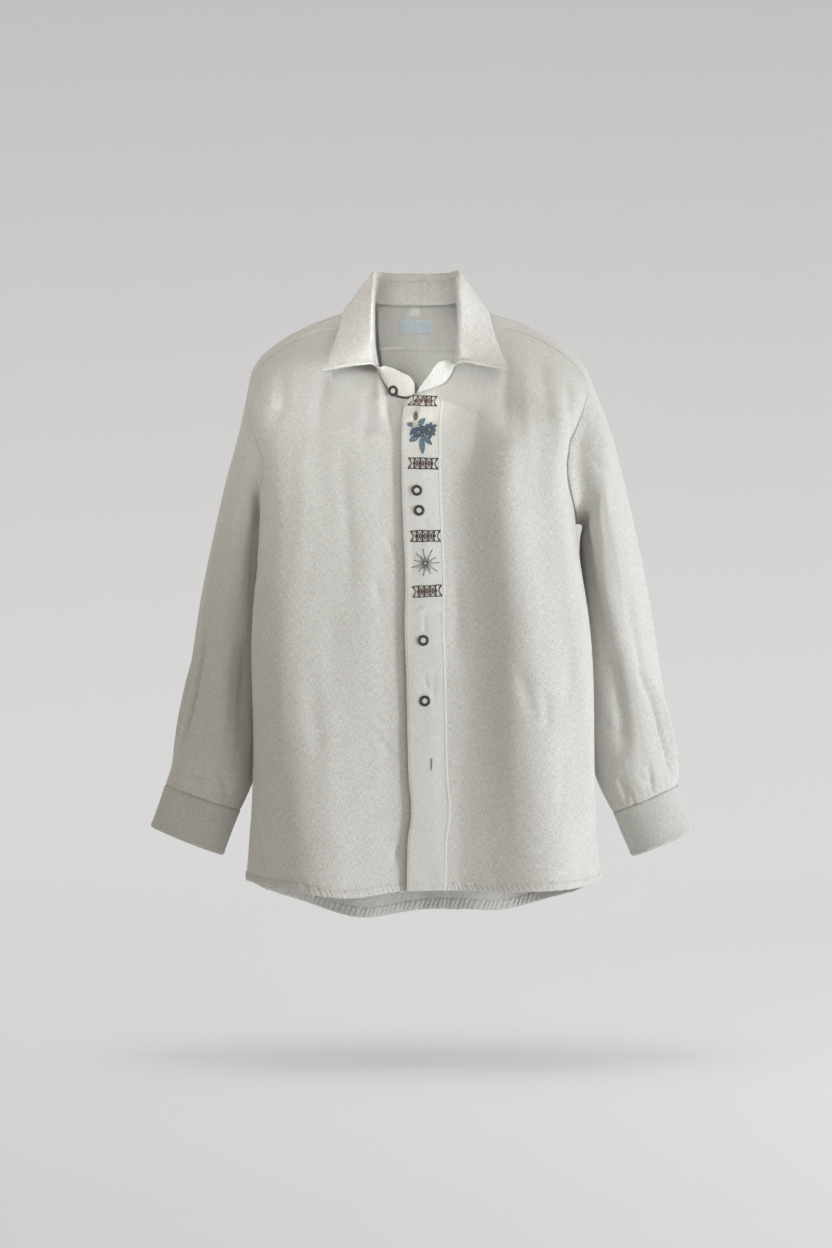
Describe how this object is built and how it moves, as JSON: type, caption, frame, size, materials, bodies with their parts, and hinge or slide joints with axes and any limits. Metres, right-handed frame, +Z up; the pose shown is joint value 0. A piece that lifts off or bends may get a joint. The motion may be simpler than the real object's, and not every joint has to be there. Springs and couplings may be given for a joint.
{
  "type": "overshirt, hollow as worn",
  "caption": "Long-sleeved button-front overshirt with a collar, placket, yoke and cuffs, hollow as worn and open at neck, hem and cuffs.",
  "frame": {"origin": "middle of the neck opening at the height of the back neck seam, where the wearer holds it up", "axes": "+Z up, the front faces -Y, the wearer's left arm is at +X"},
  "size_m": [0.7065, 0.2578, 0.8403],
  "materials": {
    "linen": "matte slubby plain weave",
    "placket_linen": "matte plain weave, paler",
    "label_cloth": "smooth woven label",
    "button": "polished",
    "thread": "embroidery thread"
  },
  "bodies": {
    "root": {"back": "linen", "yoke": "linen", "front_left": "linen", "front_right": "linen", "placket": "placket_linen", "collar_stand": "linen", "collar_leaf": "linen", "sleeve_left": "linen", "sleeve_right": "linen", "cuff_left": "linen", "cuff_right": "linen", "neck_label": "label_cloth", "size_tab": "label_cloth", "button_1": "button", "button_2": "button", "button_3": "button", "button_4": "button", "button_5": "button", "cuff_button_left": "button", "cuff_button_right": "button"}
  },
  "joints": []
}
